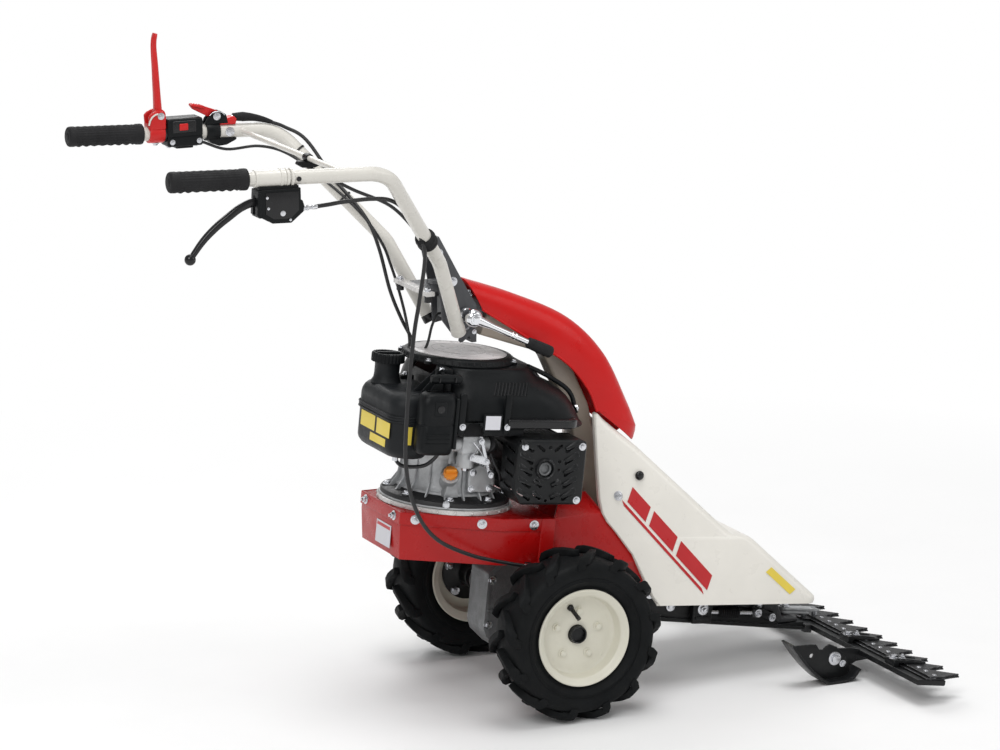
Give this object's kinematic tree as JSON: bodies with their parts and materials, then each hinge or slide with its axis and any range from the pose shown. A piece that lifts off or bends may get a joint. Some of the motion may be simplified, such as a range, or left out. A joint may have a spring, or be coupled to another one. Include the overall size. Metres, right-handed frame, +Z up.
{
  "type": "two-wheel sickle-bar mower",
  "caption": "Walk-behind two-wheel sickle-bar mower: engine on a belt deck, hooded front beam with a counter-moving double knife, and a gooseneck handlebar.",
  "frame": {"origin": "on the ground, at the middle of the machine's length and width", "axes": "+X forward towards the cutter bar, +Y to the operator's left, +Z up"},
  "size_m": [1.4271, 0.87, 1.1844],
  "materials": {
    "red_paint": "gloss",
    "dark_red_paint": "gloss",
    "ivory_paint": "satin",
    "black_plastic": "satin",
    "red_plastic": "satin",
    "orange_plastic": "satin",
    "black_rubber": "matte",
    "tyre_rubber": "matte",
    "dark_paint": "satin",
    "black_cast": "cast",
    "dark_alloy": "cast, blackened",
    "cast_alloy": "cast",
    "steel": "machined",
    "chrome": "polished"
  },
  "bodies": {
    "chassis": {"deck_pan": "red_paint", "front_frame": "dark_red_paint", "front_beam": "dark_alloy", "hood": "ivory_paint", "cowl": "red_plastic", "steering_arm": "ivory_paint", "transmission_case": "cast_alloy", "spacer_plate": "steel", "drive_belt": "black_rubber", "crankcase": "cast_alloy", "cylinder_block": "dark_alloy", "muffler": "steel", "muffler_guard": "dark_paint", "engine_shroud": "black_plastic", "recoil_housing": "black_plastic", "air_cleaner_cover": "black_plastic", "fuel_tank": "black_plastic", "cutter_bar": "dark_paint", "knife_drive_case": "dark_alloy", "hold_down_1": "dark_paint", "hold_down_2": "dark_paint", "hold_down_3": "dark_paint", "hold_down_4": "dark_paint", "skid_right": "dark_paint", "skid_left": "dark_paint", "drive_cable": "black_plastic", "throttle_cable": "black_plastic"},
    "axle": {"axle_shaft": "steel"},
    "wheel_right": {"tyre_right": "tyre_rubber", "rim_right": "ivory_paint", "wheel_hub_right": "black_cast"},
    "wheel_left": {"tyre_left": "tyre_rubber", "rim_left": "ivory_paint", "wheel_hub_left": "black_cast"},
    "crank": {"crankshaft": "steel"},
    "input_drive": {"driven_pulley": "steel"},
    "fuel_filler_cap": {"fuel_cap": "black_plastic"},
    "oil_dipstick": {"dipstick": "orange_plastic"},
    "starter_pull": {"starter_handle": "black_plastic"},
    "upper_blade": {"upper_knife": "steel"},
    "lower_blade": {"lower_knife": "steel"},
    "upper_rocker_arm": {"upper_rocker": "steel"},
    "lower_rocker_arm": {"lower_rocker": "steel"},
    "swing_block": {"swing_head": "cast_alloy"},
    "handlebar": {"console_plate": "dark_paint", "handle_tube_right": "ivory_paint", "handle_tube_left": "ivory_paint", "upper_brace": "ivory_paint", "grip_right": "black_rubber", "grip_left": "black_rubber", "drive_lever_housing": "black_plastic", "safety_bracket": "red_plastic", "switch_housing": "black_plastic", "throttle_body": "black_plastic"},
    "tilt_clamp": {"clamp_lever": "chrome", "clamp_grip": "black_plastic"},
    "swing_lock_lever": {"swing_lock": "dark_paint"},
    "traction_lever": {"drive_lever": "black_plastic"},
    "presence_lever": {"safety_lever": "red_plastic"},
    "throttle": {"throttle_lever": "red_plastic"}
  },
  "joints": [
    {"name": "axle_spin", "type": "hinge", "parent": "chassis", "child": "axle", "pos_m": [0.039, 0, 0.152], "axis": [0, 1, 0], "continuous": true},
    {"name": "wheel_right_freewheel", "type": "hinge", "parent": "axle", "child": "wheel_right", "pos_m": [0.039, -0.226, 0.152], "axis": [0, 1, 0], "continuous": true},
    {"name": "wheel_left_freewheel", "type": "hinge", "parent": "axle", "child": "wheel_left", "pos_m": [0.039, 0.226, 0.152], "axis": [0, 1, 0], "continuous": true},
    {"name": "crank_spin", "type": "hinge", "parent": "chassis", "child": "crank", "pos_m": [-0.11543, 0, 0.309], "axis": [0.1045, 0, 0.9945], "continuous": true},
    {"name": "input_spin", "type": "hinge", "parent": "chassis", "child": "input_drive", "pos_m": [0.08347, 0, 0.2881], "axis": [0.1045, 0, 0.9945], "continuous": true},
    {"name": "fuel_cap_turn", "type": "hinge", "parent": "chassis", "child": "fuel_filler_cap", "pos_m": [-0.21279, 0.01, 0.61687], "axis": [0.1045, 0, 0.9945], "range_deg": [0, 120]},
    {"name": "dipstick_pull", "type": "slide", "parent": "chassis", "child": "oil_dipstick", "axis": [-0.1979, -0.7775, 0.5969], "range_m": [0, 0.03]},
    {"name": "starter_handle_pull", "type": "slide", "parent": "chassis", "child": "starter_pull", "axis": [-0.4996, -0.8494, 0.1699], "range_m": [0, 0.4], "stiffness_N_per_m": 20},
    {"name": "upper_knife_slide", "type": "slide", "parent": "chassis", "child": "upper_blade", "axis": [0, 1, 0], "range_m": [-0.022, 0.022]},
    {"name": "lower_knife_slide", "type": "slide", "parent": "chassis", "child": "lower_blade", "axis": [0, 1, 0], "range_m": [-0.022, 0.022]},
    {"name": "upper_rocker_swing", "type": "hinge", "parent": "chassis", "child": "upper_rocker_arm", "pos_m": [0.58125, 0, 0.07325], "axis": [0.1564, 0, 0.9877], "range_deg": [-20, 20]},
    {"name": "lower_rocker_swing", "type": "hinge", "parent": "chassis", "child": "lower_rocker_arm", "pos_m": [0.58039, 0, 0.06782], "axis": [0.1564, 0, 0.9877], "range_deg": [-30, 30]},
    {"name": "handlebar_swing", "type": "hinge", "parent": "chassis", "child": "swing_block", "pos_m": [-0.059, 0, 0.7], "axis": [0, 0, 1], "range_deg": [-10, 10]},
    {"name": "handlebar_tilt", "type": "hinge", "parent": "swing_block", "child": "handlebar", "pos_m": [-0.091, 0, 0.7], "axis": [0, 1, 0], "range_deg": [-12, 8], "deforming": ["drive_cable", "throttle_cable"]},
    {"name": "tilt_clamp_turn", "type": "hinge", "parent": "handlebar", "child": "tilt_clamp", "pos_m": [-0.091, 0, 0.7], "axis": [0, 1, 0], "range_deg": [-100, 0]},
    {"name": "swing_lock_turn", "type": "hinge", "parent": "chassis", "child": "swing_lock_lever", "pos_m": [-0.059, 0, 0.6555], "axis": [0, 0, 1], "range_deg": [-20, 40]},
    {"name": "traction_lever_pull", "type": "hinge", "parent": "handlebar", "child": "traction_lever", "pos_m": [-0.519, -0.247, 0.95], "axis": [0, 1, 0], "range_deg": [0, 18], "stiffness_Nm_per_rad": 2},
    {"name": "presence_lever_press", "type": "hinge", "parent": "handlebar", "child": "presence_lever", "pos_m": [-0.545, 0.247, 1.04], "axis": [0, 1, 0], "range_deg": [-76, 0], "stiffness_Nm_per_rad": 1},
    {"name": "throttle_turn", "type": "hinge", "parent": "handlebar", "child": "throttle", "pos_m": [-0.439, 0.247, 1.032], "axis": [0, 1, 0], "range_deg": [0, 50]}
  ],
  "couplings": [
    {"joint": "input_spin", "follows": "crank_spin", "ratio": 0.6},
    {"joint": "lower_knife_slide", "follows": "upper_knife_slide", "ratio": -1},
    {"joint": "upper_rocker_swing", "follows": "upper_knife_slide", "rad_per_m": 15.385},
    {"joint": "lower_rocker_swing", "follows": "upper_knife_slide", "rad_per_m": -23.256}
  ]
}
